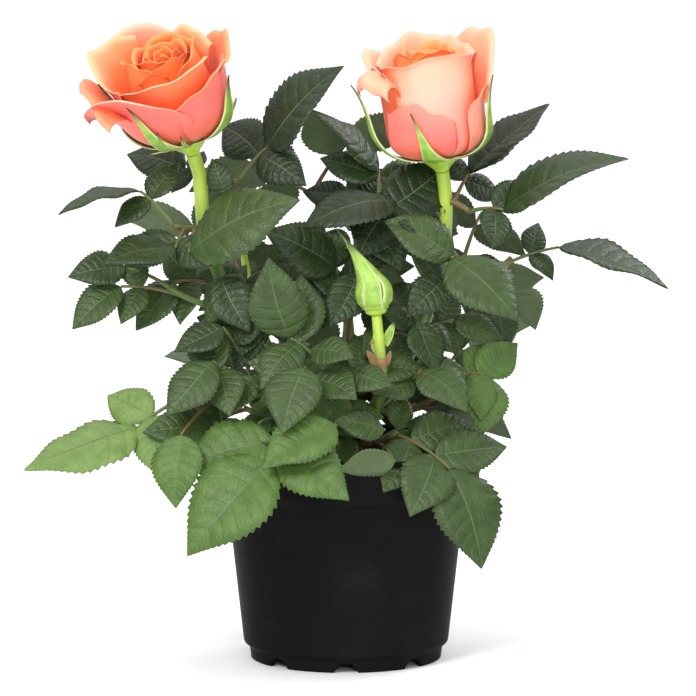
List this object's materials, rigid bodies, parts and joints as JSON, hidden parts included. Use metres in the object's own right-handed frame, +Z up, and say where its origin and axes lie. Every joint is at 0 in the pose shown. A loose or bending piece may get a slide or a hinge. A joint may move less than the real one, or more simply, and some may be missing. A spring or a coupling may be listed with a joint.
{
  "type": "potted rose bush",
  "caption": "Patio rose bush in a round black nursery pot of soil: bending canes, open coral-orange blooms, a green bud and dense toothed leaves on all sides.",
  "frame": {"origin": "on the pot's axis at the level of its foot, which is the bottom centre of the whole plant", "axes": "+Z up along the pot's axis, -Y towards the plant's front, +X to the right of that view"},
  "size_m": [0.269, 0.178, 0.2718],
  "materials": {
    "pot": "satin black moulded plastic",
    "soil": "crumbly dark brown potting soil",
    "bark": "rough woody crown of the bush",
    "cane": "smooth green rose cane, browner and woodier at its foot",
    "leaf": "dark green leaf, slightly glossy above and paler below",
    "petal": "soft coral-orange petal, deeper orange inside",
    "sepal": "light green sepal and hip"
  },
  "bodies": {
    "root": {"bloom_left": "petal", "bloom_right": "petal", "bud": "sepal", "calyx_left": "sepal", "calyx_right": "sepal", "cane_back": "cane", "cane_back_left": "cane", "cane_back_right": "cane", "cane_bud": "cane", "cane_left": "cane", "cane_right": "cane", "crown": "bark", "leaves_back_left": "leaf", "leaves_back_left_low": "leaf", "leaves_back_middle": "leaf", "leaves_back_right": "leaf", "leaves_back_right_low": "leaf", "leaves_back_top": "leaf", "leaves_centre": "leaf", "leaves_centre_high": "leaf", "leaves_front_left": "leaf", "leaves_front_right": "leaf", "leaves_inner": "leaf", "leaves_inner_left": "leaf", "leaves_inner_right": "leaf", "leaves_left_high": "leaf", "leaves_left_low": "leaf", "leaves_left_mid": "leaf", "leaves_left_top": "leaf", "leaves_low_left": "leaf", "leaves_right_far": "leaf", "leaves_right_high": "leaf", "leaves_right_low": "leaf", "leaves_right_top": "leaf", "pot": "pot", "soil": "soil"}
  },
  "joints": []
}
